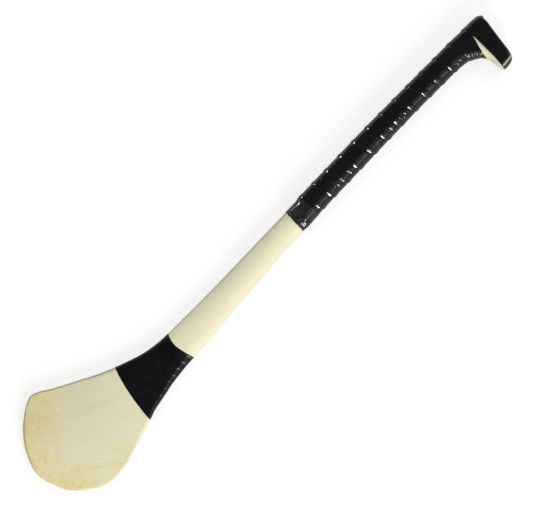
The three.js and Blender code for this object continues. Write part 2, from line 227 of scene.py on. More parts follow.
def ease(start, end, x):
    """Smooth step from 0 at start to 1 at end."""
    s = np.clip((x - start) / (end - start), 0, 1)
    return s * s * (3 - 2 * s)


def smooth_rows(places, rows, wanted):
    """Values at the wanted places on a smooth curve through rows given at places."""
    places = np.asarray(places, float)
    rows = np.asarray(rows, float)
    wanted = np.clip(wanted, places[0], places[-1])
    slopes = np.gradient(rows, places, axis=0)
    i = np.clip(np.searchsorted(places, wanted, side="right") - 1, 0, len(places) - 2)
    span = places[i + 1] - places[i]
    s = (wanted - places[i]) / span
    shape = s.shape + (1,) * (rows.ndim - 1)
    s = s.reshape(shape)
    span = span.reshape(shape)
    start = rows[i] * (1 + 2 * s) * (1 - s) ** 2 + slopes[i] * span * s * (1 - s) ** 2
    end = rows[i + 1] * (3 - 2 * s) * s ** 2 - slopes[i + 1] * span * (1 - s) * s ** 2
    return start + end


def table_at(table, x):
    """Value of a small table of places and values, on a smooth curve."""
    places, values = zip(*table)
    return smooth_rows(places, values, np.asarray(x, float))


# The wood's own surface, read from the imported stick

def stick_rings():
    """The stick's toe and its rings to the butt. Each starts at the left edge and crosses the front."""
    skin = bmesh.new()
    skin.from_mesh(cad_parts["ash_stick"].data)
    bmesh.ops.remove_doubles(skin, verts=skin.verts, dist=STICK_WELD * MM)
    toe = min(skin.verts, key=lambda v: v.co.y)
    seen = {toe}
    reached = {toe}
    rings = []
    while reached:
        reached = {e.other_vert(v) for v in reached for e in v.link_edges} - seen
        seen |= reached
        if len(reached) < 3:
            break
        middle = sum(v.co.z for v in reached) / len(reached)
        edges = [v for v in reached if abs(v.co.z - middle) < STICK_WELD * MM]
        left = min(edges, key=lambda v: v.co.x)
        beside = [e.other_vert(left) for e in left.link_edges if e.other_vert(left) in reached]
        ring = [left, max(beside, key=lambda v: v.co.z)]
        while len(ring) < len(reached):
            nearby = [e.other_vert(ring[-1]) for e in ring[-1].link_edges]
            ring.append([v for v in nearby if v in reached and v not in ring[-2:]][0])
        rings.append([v.co[:] for v in ring])
    toe_place = toe.co[:]
    skin.free()
    return np.array(toe_place), np.array(rings)


ROWS_PER_RING = 5
SIDES = 128
RIGHT_EDGE = SIDES // 2


def fine_wood(rings):
    """The rings on a finer grid of rows and sides, on smooth curves both ways."""
    ring_steps = np.linalg.norm(np.diff(rings, axis=0), axis=2).mean(axis=1)
    ring_places = np.concatenate([[0], np.cumsum(ring_steps)])
    fine_index = np.linspace(0, len(rings) - 1, (len(rings) - 1) * ROWS_PER_RING + 1)
    fine_places = np.interp(fine_index, np.arange(len(rings)), ring_places)
    fine = smooth_rows(ring_places, rings, fine_places)
    around = fine.shape[1]
    wrapped = np.concatenate([fine[:, -4:], fine, fine[:, :5]], axis=1).swapaxes(0, 1)
    fine_shares = np.arange(SIDES + 1) * around / SIDES
    fine = smooth_rows(np.arange(-4, around + 5), wrapped, fine_shares).swapaxes(0, 1)
    fine[:, -1] = fine[:, 0]
    return fine


def narrow_rims(wood):
    """The same outline and thickness with the rounding at the bas's rims drawn nearer to the edge."""
    level = (wood[:, :1, 1] - TOE_Y) / MM
    share = np.where(level < RIM_SHARES[-1][0], table_at(RIM_SHARES, level), 1)
    left = wood[:, :1, 0]
    right = wood[:, RIGHT_EDGE:RIGHT_EDGE + 1, 0]
    centre = (left + right) / 2
    half_width = (right - left) / 2
    reach = np.minimum(RIM_REACH * MM, RIM_REACH_SHARE * half_width)
    from_edge = np.clip(half_width - np.abs(wood[..., 0] - centre), 0, None)
    spread = (half_width - share * reach) / (half_width - reach)
    flat_part = share * reach + (from_edge - reach) * spread
    narrowed = np.where(from_edge < reach, share * from_edge, flat_part)
    across = centre + np.sign(wood[..., 0] - centre) * (half_width - narrowed)
    across = np.where(share < 1, across, wood[..., 0])
    return np.concatenate([across[..., None], wood[..., 1:]], axis=2)


def outward_normals(wood):
    """The wood's unit normals over its rows and sides."""
    along_step = np.gradient(wood, axis=0)
    wrapped = np.concatenate([wood[:, -2:-1], wood, wood[:, 1:2]], axis=1)
    ring_step = np.gradient(wrapped, axis=1)[:, 1:-1]
    normals = np.cross(along_step, ring_step)
    normals /= np.linalg.norm(normals, axis=2, keepdims=True)
    middle = wood.mean(axis=1, keepdims=True)
    return normals if ((wood - middle) * normals).sum() > 0 else -normals


def butt_normal(wood):
    """The unit normal of the sawn end, away from the bas."""
    normal = np.cross(wood[-1, RIGHT_EDGE] - wood[-1, 0], (0, 0, 1))
    normal /= np.linalg.norm(normal)
    return normal if normal[1] > 0 else -normal


toe_point, rings = stick_rings()
wood = narrow_rims(fine_wood(rings))
normals = outward_normals(wood)
end_normal = butt_normal(wood)
levels = (wood[:, 0, 1] - TOE_Y) / MM

# The sawn end sits inside the strip's upper edge
lowered = ease(BUTT - END_DROP_REACH[0], BUTT - END_DROP_REACH[1], levels)[:, None]
at_hook = ease(END_DROP_FADE[0] * MM, END_DROP_FADE[1] * MM, wood[..., 0])
drop = END_DROP * MM * lowered * (1 - END_DROP_LOSS_SHARE * at_hook)
wood = wood - end_normal * drop[..., None]


def sampled(field, row, column):
    """Bilinear sample of a field over the wood's rows and columns."""
    i = np.clip(row.astype(int), 0, len(field) - 2)
    j = np.clip(column.astype(int), 0, SIDES - 1)
    a = (row - i)[..., None]
    b = (column - j)[..., None]
    low = field[i, j] * (1 - b) + field[i, j + 1] * b
    high = field[i + 1, j] * (1 - b) + field[i + 1, j + 1] * b
    return low * (1 - a) + high * a


def wood_place(level, turn, height):
    """Points over the wood at a level and a share of a turn, in metres. Past the butt they fold in."""
    level, turn, height = np.broadcast_arrays(*(np.asarray(x, float) for x in (level, turn, height)))
    row = np.interp(level, levels, np.arange(len(levels)))
    column = (turn - np.floor(turn)) * SIDES
    place = sampled(wood, row, column)
    out = sampled(normals, row, column)
    flat = out - (out @ end_normal)[..., None] * end_normal
    flat /= np.linalg.norm(flat, axis=-1, keepdims=True)
    near_end = ease(BUTT - END_TURN_IN, BUTT, level)[..., None]
    out = out * (1 - near_end) + flat * near_end
    past = np.clip(level - BUTT, 0, None)[..., None] * MM
    return place + out * height[..., None] * MM + end_normal * past * END_RISE_SHARE - flat * past


def put_in_scene(name, data):
    """A new object at the origin, linked to the scene."""
    thing = bpy.data.objects.new(name, data)
    bpy.context.scene.collection.objects.link(thing)
    return thing


def finished(bm, name):
    """The object of a finished bmesh."""
    mesh = bpy.data.meshes.new(name)
    bm.to_mesh(mesh)
    bm.free()
    return put_in_scene(name, mesh)


def grid_piece(name, places, attributes=None, ends=False):
    """A piece from a grid whose points are moved to places. Doubled points are merged."""
    rows, columns = places.shape[:2]
    bm = bmesh.new()
    bmesh.ops.create_grid(bm, x_segments=columns - 1, y_segments=rows - 1, size=0.5)
    layers = {key: bm.verts.layers.float.new(key) for key in attributes or {}}
    for v in bm.verts:
        i = round((v.co.y + 0.5) * (rows - 1))
        j = round((v.co.x + 0.5) * (columns - 1))
        v.co = places[i, j]
        for key, layer in layers.items():
            v[layer] = attributes[key][i, j]
    bmesh.ops.remove_doubles(bm, verts=bm.verts, dist=PIECE_WELD * MM)
    if ends:
        bmesh.ops.holes_fill(bm, edges=[e for e in bm.edges if e.is_boundary], sides=0)
    bmesh.ops.recalc_face_normals(bm, faces=bm.faces)
    for face in bm.faces:
        face.smooth = True
    return finished(bm, name)


def settle(piece, node, material):
    """The piece stands for a node of the frame and takes its finish."""
    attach(piece, "root")
    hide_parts(node)
    piece.data.materials.append(material)


# Node helpers

def add_node(tree, kind, settings=None, values=None):
    """A node with its settings and the values of its unlinked inputs."""
    node = tree.nodes.new(kind)
    for key, value in (settings or {}).items():
        setattr(node, key, value)
    for key, value in (values or {}).items():
        node.inputs[key].default_value = value
    return node


def feed(tree, socket, value):
    """Puts a number, a colour or another socket into an input."""
    if isinstance(value, bpy.types.NodeSocket):
        tree.links.new(value, socket)
    else:
        socket.default_value = value


def math_node(tree, operation, first, second=0.0, third=0.0, clamp=False):
    """A Math node. Each input is a number or a socket."""
    node = add_node(tree, "ShaderNodeMath", {"operation": operation, "use_clamp": clamp})
    for socket, value in zip(node.inputs, (first, second, third)):
        feed(tree, socket, value)
    return node.outputs[0]


def times(tree, first, second):
    """The product of two inputs, each a number or a socket."""
    return math_node(tree, "MULTIPLY", first, second)


def range_node(tree, value, start, end, low=0.0, high=1.0):
    """Maps a value from start..end to low..high, on a smooth step."""
    node = add_node(tree, "ShaderNodeMapRange", {"interpolation_type": "SMOOTHSTEP"})
    feed(tree, node.inputs["Value"], value)
    for key, number in (("From Min", start), ("From Max", end), ("To Min", low), ("To Max", high)):
        feed(tree, node.inputs[key], number)
    return node.outputs["Result"]


def blend_node(tree, factor, first, second):
    """Blends two colours by a factor."""
    node = add_node(tree, "ShaderNodeMix", {"data_type": "RGBA"})
    colours = [socket for socket in node.inputs if socket.type == "RGBA"]
    feed(tree, node.inputs["Factor"], factor)
    feed(tree, colours[0], first)
    feed(tree, colours[1], second)
    return [socket for socket in node.outputs if socket.type == "RGBA"][0]


def scaled(tree, vector, scale):
    """A place times a scale for each axis."""
    node = add_node(tree, "ShaderNodeVectorMath", {"operation": "MULTIPLY"})
    tree.links.new(vector, node.inputs[0])
    node.inputs[1].default_value = scale
    return node.outputs[0]


def noise_node(tree, vector, scale, detail=2.0, roughness=0.5, distortion=0.0):
    """A noise pattern, from 0 to 1. Its scale is a number or a socket."""
    values = {"Detail": detail, "Roughness": roughness, "Distortion": distortion}
    node = add_node(tree, "ShaderNodeTexNoise", None, values)
    tree.links.new(vector, node.inputs["Vector"])
    feed(tree, node.inputs["Scale"], scale)
    return node.outputs["Fac"]


def attribute(tree, name):
    """A value stored on the piece's points."""
    return add_node(tree, "ShaderNodeAttribute", {"attribute_name": name}).outputs["Fac"]


def own_place(tree):
    """The piece's own place in metres."""
    return add_node(tree, "ShaderNodeTexCoord").outputs["Object"]


def new_group(name, inputs, outputs):
    """An empty node group, with its sockets by name, and its two end nodes."""
    group = bpy.data.node_groups.new(name, "ShaderNodeTree")
    for label, kind, value in inputs:
        socket = group.interface.new_socket(name=label, in_out="INPUT", socket_type=kind)
        if value is not None:
            socket.default_value = value
    for label, kind in outputs:
        group.interface.new_socket(name=label, in_out="OUTPUT", socket_type=kind)
    start = group.nodes.new("NodeGroupInput")
    end = group.nodes.new("NodeGroupOutput")
    return group, start.outputs, end.inputs


def place_group(tree, group, **values):
    """A group placed in a material, with its inputs by name."""
    node = tree.nodes.new("ShaderNodeGroup")
    node.node_tree = group
    for key, value in values.items():
        feed(tree, node.inputs[key.replace("_", " ")], value)
    return node.outputs


def new_material(name, colour, values):
    """A material with its Principled shader, and the colour that plain viewers show."""
    material = bpy.data.materials.new(name)
    material.use_nodes = True
    material.diffuse_color = (*colour, 1)
    tree = material.node_tree
    shader = tree.nodes["Principled BSDF"]
    for key, value in values.items():
        shader.inputs[key].default_value = value
    return material, tree, shader


def bump(tree, shader, height, distance):
    """A bump in metres on the shader's normal."""
    node = add_node(tree, "ShaderNodeBump", None, {"Distance": distance, "Strength": 1.0})
    tree.links.new(height, node.inputs["Height"])
    tree.links.new(node.outputs["Normal"], shader.inputs["Normal"])


FLOAT = "NodeSocketFloat"
VECTOR = "NodeSocketVector"


def handling_marks_group():
    """Soft smudges and fine scuffs that handling leaves on any finish."""
    inputs = [("Place", VECTOR, None), ("Smudge Scale", FLOAT, 45.0), ("Scuff Scale", FLOAT, 420.0)]
    outputs = [("Smudges", FLOAT), ("Scuffs", FLOAT)]
    group, given, out = new_group("handling_marks", inputs, outputs)
    smudges = noise_node(group, given["Place"], given["Smudge Scale"], 3.0, 0.55, 0.6)
    group.links.new(range_node(group, smudges, 0.3, 0.7), out["Smudges"])
    stretched = scaled(group, given["Place"], (1.0, 0.22, 1.0))
    scuffs = noise_node(group, stretched, given["Scuff Scale"], 4.0, 0.65, 0.3)
    group.links.new(range_node(group, scuffs, 0.58, 0.74), out["Scuffs"])
    return group


def ash_grain_group():
    """Plain-sawn ash: growth bands, open pores in the early wood, and soft mottling."""
    inputs = [("Place", VECTOR, None), ("Band Scale", FLOAT, 95.0), ("Pore Scale", FLOAT, 1500.0)]
    outputs = [("Bands", FLOAT), ("Pores", FLOAT), ("Mottle", FLOAT), ("Height", FLOAT)]
    group, given, out = new_group("ash_grain", inputs, outputs)
    drawn_out = scaled(group, given["Place"], (1.0, 0.045, 0.8))
    growth = noise_node(group, drawn_out, given["Band Scale"], 3.0, 0.5, 0.35)
    year = math_node(group, "FRACT", times(group, growth, 9.0))
    early = times(group, range_node(group, year, 0.55, 0.95), range_node(group, year, 1.0, 0.95))
    group.links.new(early, out["Bands"])
    pore_place = scaled(group, given["Place"], (1.0, 0.035, 1.0))
    pores = range_node(group, noise_node(group, pore_place, given["Pore Scale"], 2.0, 0.6), 0.56, 0.68)
    open_pores = times(group, pores, range_node(group, early, 0.0, 0.6, 0.25, 1.0))
    group.links.new(open_pores, out["Pores"])
    mottle = noise_node(group, scaled(group, given["Place"], (1.0, 0.6, 1.0)), 38.0, 4.0, 0.6, 0.5)
    group.links.new(range_node(group, mottle, 0.3, 0.7), out["Mottle"])
    lowered = times(group, open_pores, -1.0)
    group.links.new(math_node(group, "MULTIPLY_ADD", early, -0.25, lowered), out["Height"])
    return group


def film_skin_group():
    """The skin of a stretched plastic film: slack waves, drawn lines and a fine pebble."""
    inputs = [("Place", VECTOR, None), ("Pebble Scale", FLOAT, 1300.0), ("Line Scale", FLOAT, 260.0)]
    inputs += [("Wave Scale", FLOAT, 110.0), ("Wave Height", FLOAT, 16.0), ("Slack", FLOAT, 1.0)]
    group, given, out = new_group("film_skin", inputs, [("Height", FLOAT)])
    pebble = noise_node(group, given["Place"], given["Pebble Scale"], 3.0, 0.6)
    line_place = scaled(group, given["Place"], (0.25, 1.0, 0.25))
    lines = noise_node(group, line_place, given["Line Scale"], 3.0, 0.55, 0.8)
    lines = range_node(group, lines, 0.35, 0.65)
    fine = math_node(group, "MULTIPLY_ADD", lines, 0.8, times(group, pebble, 0.5))
    wave_place = scaled(group, given["Place"], (1.0, 0.8, 1.0))
    waves = noise_node(group, wave_place, given["Wave Scale"], 2.0, 0.45, 0.6)
    wave_height = times(group, given["Wave Height"], given["Slack"])
    group.links.new(math_node(group, "MULTIPLY_ADD", waves, wave_height, fine), out["Height"])
    return group


handling_marks = handling_marks_group()
ash_grain = ash_grain_group()
film_skin = film_skin_group()

# The wood's tones: heart of the bas on its dark and its pale side, shaft, and what lies over them
CREAM = (0.70, 0.675, 0.485, 1.0)
PALE_CREAM = (0.87, 0.84, 0.635, 1.0)
SHAFT_CREAM = (0.855, 0.83, 0.61, 1.0)
STRAW = (0.83, 0.75, 0.35, 1.0)
FLECK = (0.89, 0.81, 0.47, 1.0)
AMBER = (0.70, 0.51, 0.25, 1.0)
TAN = (0.56, 0.46, 0.25, 1.0)
PORE = (0.40, 0.31, 0.17, 1.0)
# Dark tone for the painted shade along the rims that face away from the key light, and for scuffs
RIM_SHADE_AND_SCUFF = (0.26, 0.22, 0.14, 1.0)
DENT_CREAM = (0.8, 0.78, 0.66, 1.0)

# A pale tone painted over the hook's bend as a highlight
BEND_HIGHLIGHT_TONE = (0.85, 0.83, 0.76, 1.0)

# Places in the row's frame: the pale heart of the bas, a small dent in its face, and the levels
# between which the tones and the grain change
BAS_HEART = (5 * MM, -255 * MM, 10 * MM)
DENT = (-34.1 * MM, -286.5 * MM, 10 * MM)
DENT_REACH = (2.8 * MM, 0.8 * MM)
BAS_TONE_LEVELS = (-200 * MM, -260 * MM)
SHAFT_TONE_LEVELS = (-250 * MM, -140 * MM)
GRAIN_BEND_LEVEL = -130 * MM
GRAIN_BEND = 2.0
TOE_SHADE_LEVEL = -300 * MM

# Distances from the heart between which the rim's tones come up, how much the mottling ripples
# them, and the places across between which the bas grows paler
STRAW_REACH = (40 * MM, 115 * MM)
RIM_TONE_REACH = (55 * MM, 115 * MM)
TONE_RIPPLE = 30 * MM
PALE_SIDE_REACH = (-61 * MM, 69 * MM)


def distance_from(tree, place, point, scale=(1.0, 1.0, 1.0)):
    """Distance in metres from a point, with each axis scaled."""
    node = add_node(tree, "ShaderNodeVectorMath", {"operation": "SUBTRACT"})
    tree.links.new(place, node.inputs[0])
    node.inputs[1].default_value = point
    length = add_node(tree, "ShaderNodeVectorMath", {"operation": "LENGTH"})
    tree.links.new(scaled(tree, node.outputs[0], scale), length.inputs[0])
    return length.outputs["Value"]


def metres_below(tree, axes, level):
    """How far a place lies below a level, towards the toe, and 0 above it."""
    return math_node(tree, "MAXIMUM", math_node(tree, "SUBTRACT", level, axes["Y"]), 0.0)


def grain_place(tree, axes):
    """The wood's place with its grain bent to the side towards the toe."""
    below = metres_below(tree, axes, GRAIN_BEND_LEVEL)
    bend = times(tree, times(tree, below, below), GRAIN_BEND)
    joined = add_node(tree, "ShaderNodeCombineXYZ")
    tree.links.new(math_node(tree, "ADD", axes["X"], bend), joined.inputs["X"])
    tree.links.new(axes["Y"], joined.inputs["Y"])
    tree.links.new(axes["Z"], joined.inputs["Z"])
    return joined.outputs[0]


def face_tones(tree, place, axes, mottle):
    """The wood's broad tones: cream at the bas's heart, straw and amber towards its rim."""
    from_heart = distance_from(tree, place, BAS_HEART, (0.85, 1.0, 1.0))
    ripple = math_node(tree, "MULTIPLY_ADD", mottle, TONE_RIPPLE, from_heart)
    on_bas = range_node(tree, axes["Y"], *BAS_TONE_LEVELS)
    on_shaft = range_node(tree, axes["Y"], *SHAFT_TONE_LEVELS)
    near_rim = times(tree, range_node(tree, ripple, *RIM_TONE_REACH), on_bas)

    towards_toe = metres_below(tree, axes, TOE_SHADE_LEVEL)
    across = math_node(tree, "MULTIPLY_ADD", towards_toe, 0.7, axes["X"])
    paler = range_node(tree, across, *PALE_SIDE_REACH)
    heart = blend_node(tree, paler, CREAM, PALE_CREAM)
    colour = blend_node(tree, on_shaft, heart, SHAFT_CREAM)

    straw = times(tree, range_node(tree, ripple, *STRAW_REACH), on_bas)
    straw = math_node(tree, "MULTIPLY_ADD", mottle, 0.16, times(tree, straw, 0.85), clamp=True)
    darker = range_node(tree, paler, 0.0, 0.6, 0.5, 0.04)
    blotches = range_node(tree, noise_node(tree, place, 150.0, 5.0, 0.7, 0.8), 0.48, 0.58)
    amber = times(tree, blotches, range_node(tree, paler, 0.0, 0.6, 0.62, 0.5))
    flecks = range_node(tree, noise_node(tree, place, 300.0, 4.0, 0.7, 0.5), 0.48, 0.6)
    for mask, tone in (
        (straw, STRAW),
        (times(tree, darker, near_rim), TAN),
        (times(tree, amber, near_rim), AMBER),
        (times(tree, times(tree, flecks, 0.5), near_rim), FLECK),
    ):
        colour = blend_node(tree, mask, colour, tone)
    return colour


def sawn_tones(tree, place):
    """The end grain's rings, as the saw has left them."""
    settings = {"wave_type": "BANDS", "bands_direction": "Z"}
    values = {"Scale": 190.0, "Distortion": 3.0, "Detail": 2.0, "Detail Scale": 1.2}
    end_rings = add_node(tree, "ShaderNodeTexWave", settings, values)
    tree.links.new(place, end_rings.inputs["Vector"])
    return blend_node(tree, times(tree, end_rings.outputs["Fac"], 0.6), TAN, PORE)


def ash_material():
    """Bare ash, with its grain, painted shade along the rim, a dent and the sawn end."""
    material, tree, shader = new_material("ash_wood", CREAM[:3], {"Specular IOR Level": 0.35})
    place = own_place(tree)
    split = add_node(tree, "ShaderNodeSeparateXYZ")
    tree.links.new(place, split.inputs[0])
    axes = split.outputs
    grain = place_group(tree, ash_grain, Place=grain_place(tree, axes))
    marks = place_group(tree, handling_marks, Place=place, Smudge_Scale=30.0, Scuff_Scale=500.0)
    dent = range_node(tree, distance_from(tree, place, DENT, (1.0, 0.8, 0.2)), *DENT_REACH)
    smudged_rim_shade = range_node(tree, marks["Smudges"], 0.0, 1.0, 0.7, 1.0)

    colour = face_tones(tree, place, axes, grain["Mottle"])
    for mask, tone in (
        (times(tree, grain["Bands"], 0.065), TAN),
        (times(tree, grain["Pores"], 0.14), PORE),
        (times(tree, marks["Scuffs"], 0.1), RIM_SHADE_AND_SCUFF),
        # Painted shade on the rims that face away from the key light, broken up by smudges
        (times(tree, attribute(tree, "painted_rim_shade"), smudged_rim_shade), RIM_SHADE_AND_SCUFF),
        (attribute(tree, "end_grain"), sawn_tones(tree, place)),
        (times(tree, dent, 0.5), DENT_CREAM),
    ):
        colour = blend_node(tree, mask, colour, tone)
    tree.links.new(colour, shader.inputs["Base Color"])

    rough = range_node(tree, marks["Smudges"], 0.0, 1.0, 0.46, 0.6)
    rough = math_node(tree, "MULTIPLY_ADD", grain["Pores"], 0.15, rough)
    tree.links.new(rough, shader.inputs["Roughness"])
    height = math_node(tree, "MULTIPLY_ADD", dent, -4.0, grain["Height"])
    bump(tree, shader, height, 0.06 * MM)
    return material


def black_material(name, dark, light, roughness, specular, pebble, lines, waves, depth, creases=0.0):
    """A black plastic film, from its dark to its light colour, with its range of roughness."""
    material, tree, shader = new_material(name, dark, {"Specular IOR Level": specular})
    place = own_place(tree)
    marks = place_group(tree, handling_marks, Place=place, Smudge_Scale=55.0, Scuff_Scale=620.0)
    skin = place_group(
        tree, film_skin, Place=place, Pebble_Scale=pebble, Line_Scale=lines,
        Wave_Scale=waves[0], Wave_Height=waves[1], Slack=attribute(tree, "slack_film"),
    )
    # Painted lighter and glossier: a painted sheen on the tapes' edges and bead crests, and the paler
    # crest of the strip's lip
    rubbed_and_sheen = attribute(tree, "rubbed_and_sheen")
    tone = math_node(tree, "MULTIPLY_ADD", marks["Scuffs"], 0.5, times(tree, marks["Smudges"], 0.6))
    tone = math_node(tree, "MULTIPLY_ADD", rubbed_and_sheen, 0.5, tone, clamp=True)
    colour = blend_node(tree, tone, (*dark, 1.0), (*light, 1.0))
    height = skin["Height"]
    if creases:
        scuffed = range_node(tree, marks["Scuffs"], 0.0, 1.0, 0.8, 1.0)
        # Painted highlight over the hook's bend, broken up by scuffs
        colour = blend_node(tree, times(tree, attribute(tree, "painted_bend_highlight"), scuffed), colour, BEND_HIGHLIGHT_TONE)
        folds = noise_node(tree, scaled(tree, place, (1.0, 1.5, 1.0)), 330.0, 2.0, 0.5, 0.4)
        from_crest = math_node(tree, "ABSOLUTE", math_node(tree, "SUBTRACT", folds, 0.5))
        ridges = times(tree, range_node(tree, from_crest, 0.09, 0.0), attribute(tree, "creased"))
        height = math_node(tree, "MULTIPLY_ADD", ridges, creases, height)
    tree.links.new(colour, shader.inputs["Base Color"])
    rough = range_node(tree, marks["Smudges"], 0.0, 1.0, *roughness)
    rough = math_node(tree, "MULTIPLY_ADD", marks["Scuffs"], 0.08, rough)
    rough = math_node(tree, "MULTIPLY_ADD", rubbed_and_sheen, -0.05, rough)
    tree.links.new(rough, shader.inputs["Roughness"])
    bump(tree, shader, height, depth)
    return material


# Ash stick

# How dark the painted rim shade gets at most
RIM_SHADE_SHARE = 0.85
CAP_SHARES = [0.02, 0.1, 0.3, 0.6, 1.0]


def painted_rim_shade_shares():
    """Painted shade on the rim: where the wood turns down, more so at the left and upper sides, away
    from the key light.
    """
    facing = np.clip((0.8 - np.abs(normals[..., 2])) / 0.5, 0, 1)
    side = np.clip(0.45 - normals[..., 0] * 0.9 + normals[..., 1] * 0.9, 0, 1)
    return facing * side * RIM_SHADE_SHARE


def stick_piece():
    """The wood from its toe to the sawn end, whose rows close on the end's middle."""
    end_middle = wood[-1].mean(axis=0)
    cap = wood[-1:] + (end_middle - wood[-1:]) * np.array(CAP_SHARES)[:, None, None]
    toe_row = np.broadcast_to(toe_point, wood[:1].shape)
    places = np.concatenate([toe_row, wood, cap], axis=0)
    painted_rim_shade = np.zeros(places.shape[:2])
    painted_rim_shade[1:-len(cap)] = painted_rim_shade_shares()
    end_grain = np.zeros(places.shape[:2])
    end_grain[-len(cap):] = 1
    return grid_piece("ash_stick_wood", places, {"painted_rim_shade": painted_rim_shade, "end_grain": end_grain})


settle(stick_piece(), "ash_stick", ash_material())


# Grip strip

def strip_foot(turn):
    """Level of the strip's slanted foot, by turn."""
    return STRIP_FOOT + STRIP_FOOT_LEAN * np.cos(2 * math.pi * turn)


def strip_lower(turn):
    """Level of the strip's lower edge: wound by hand, then laid round the head."""
    flattened = SEAM_FLATTENING / (2 * math.pi) * (np.cos(2 * math.pi * turn) + 1)
    wound = TOP_SEAM + STRIP_PITCH * (turn - 0.5 + flattened)
    lap = OVERALL_LENGTH - table_at(LAP_LOWER_SHARES, turn) * HEAD_LENGTH
    wander = table_at(SEAM_WANDER, turn)
    return np.maximum(wound + (lap - wound) * ease(-1, 0, turn) + wander, strip_foot(turn))


def strip_upper(turn):
    """Level of its upper edge: under the next turn, open at the hook, then trimmed at the butt."""
    wound = np.minimum(turn, 0.5)
    opening = table_at(LAP_OPENING_SHARES, wound) * HEAD_LENGTH
    joint = strip_lower(wound + 1) + STRIP_OVERLAP - opening
    corner_turn, corner_width = STRIP_CORNER_TURN
    corner = STRIP_CORNER * np.exp(-((turn - corner_turn) / corner_width) ** 2)
    return joint + (BUTT + STRIP_TRIM - corner - joint) * ease(0.5, 1, turn)


def flat_height(from_upper):
    """Height of the strip's face by the distance from its skived upper edge."""
    return STRIP_BED + STRIP_THICKNESS * np.clip(from_upper / STRIP_SKIVE, 0, 1)


def ridged(place, size, seed):
    """Sharp-crested folds, from 0 to 1, of a size in millimetres."""
    value = noise.noise(Vector(place) / size + Vector((seed, seed * 0.7, seed * 1.3)))
    return max(0.0, 1 - abs(value) * CREASE_SHARPNESS) ** 2


def fold_heights(x, y):
    """Height of the pressed folds over a place in plan, in millimetres."""
    heights = np.zeros(x.shape)
    for level, across, lean, half_length, width in FOLDS:
        lean = math.radians(lean)
        along = (x - across) * math.cos(lean) + (y - level) * math.sin(lean)
        over = (y - level) * math.cos(lean) - (x - across) * math.sin(lean)
        ridge = np.clip(np.minimum(1 + over / width, 1 - over / (width * FOLD_BACK_SHARE)), 0, 1)
        heights = np.maximum(heights, FOLD_SLOPE * width * ridge * np.exp(-((along / half_length) ** 4)))
    return heights


def crease_heights(places, turn):
    """Folds of the stretched strip in millimetres, and how strongly each place is creased."""
    local = (places - np.array((0, TOE_Y, 0))) / MM
    x = local[..., 0]
    y = local[..., 1]
    on_front = (turn - np.floor(turn)) <= 0.5
    heights = fold_heights(x, y) * on_front
    creased = np.zeros(heights.shape)
    for zones, side in ((FRONT_CREASES, on_front), (BACK_CREASES, ~on_front)):
        strength = np.zeros(heights.shape)
        for level, across, reach_along, reach_across, depth in zones:
            far = ((y - level) / reach_along) ** 2 + ((x - across) / reach_across) ** 2
            strength = np.maximum(strength, depth * (1 - ease(0.25, 1.3, far)))
        strength *= side
        creased += strength
        for i, j in zip(*np.nonzero(strength > 0.01)):
            point = local[i, j]
            folds = ridged((point[0] * 0.6, point[1] * 1.4, point[2] * 0.6), CREASE_SIZE, 3.0)
            small = ridged((point[0] * 0.9, point[1] * 1.3, point[2]), CREASE_SIZE * 0.6, 8.0)
            heights[i, j] += strength[i, j] * (1.5 * folds + 0.7 * small)
    return heights, creased


FIRST_TURN = (STRIP_FOOT - TOP_SEAM) / STRIP_PITCH - 0.5
STEPS_PER_TURN = 120
TURNS = np.linspace(FIRST_TURN, STRIP_LAST_TURN, int((STRIP_LAST_TURN - FIRST_TURN) * STEPS_PER_TURN))
LIP_PLACES = [0, 0.08, 0.3, 0.7, 1.2, 1.8, 2.4, 3, 3.7, 4.5, 5.5, 6.5, 7.6]
FACE_STEPS = 34
UNDERSIDE_SHARES = [1, 0.5, 0.2, 0]

# Turns between which the strip comes to ride on the turn below, leaves it, and laps over itself
RIDE_START_TURNS = (0.7, 0.95)
RIDE_END_TURNS = (1.17, 1.3)
SECOND_LAYER_TURNS = (1.5, 1.64)


def lip_profile(top, base, crest):
    """Height of the lip that each turn's lower edge raises over the turn below."""
    along = np.clip(top / crest, 0, 1)
    rounded = 1 - LIP_ROUNDING * (1 - along) ** 2
    rise = np.where(along < LIP_SLOPE_SHARE, LIP_SLOPE * along, rounded)
    start = flat_height(STRIP_OVERLAP) + STRIP_EDGE * ease(0, STRIP_EDGE, top)
    height = start + (LIP_HEIGHT - start) * rise
    return height + (base - height) * ease(crest, LIP_END, top)


def closed_round(field):
    """A field of the strip's section with its first column again at the end."""
    return np.concatenate([field, field[:, :1]], axis=1)


def bend_highlight_shares(places, turn):
    """Where the strip's last turn carries a painted highlight over the hook's bend."""
    across, level, lean, half_width, half_length = HOOK_BEND
    bend = across + (level - places[..., 1] / MM) * lean
    bend_glint = np.exp(-((places[..., 0] / MM - bend) / half_width) ** 2) * (turn > 1.2) * (turn < 1.5)
    return bend_glint * (1 - ease(0.8, 1, np.abs(places[..., 1] / MM - level) / half_length))


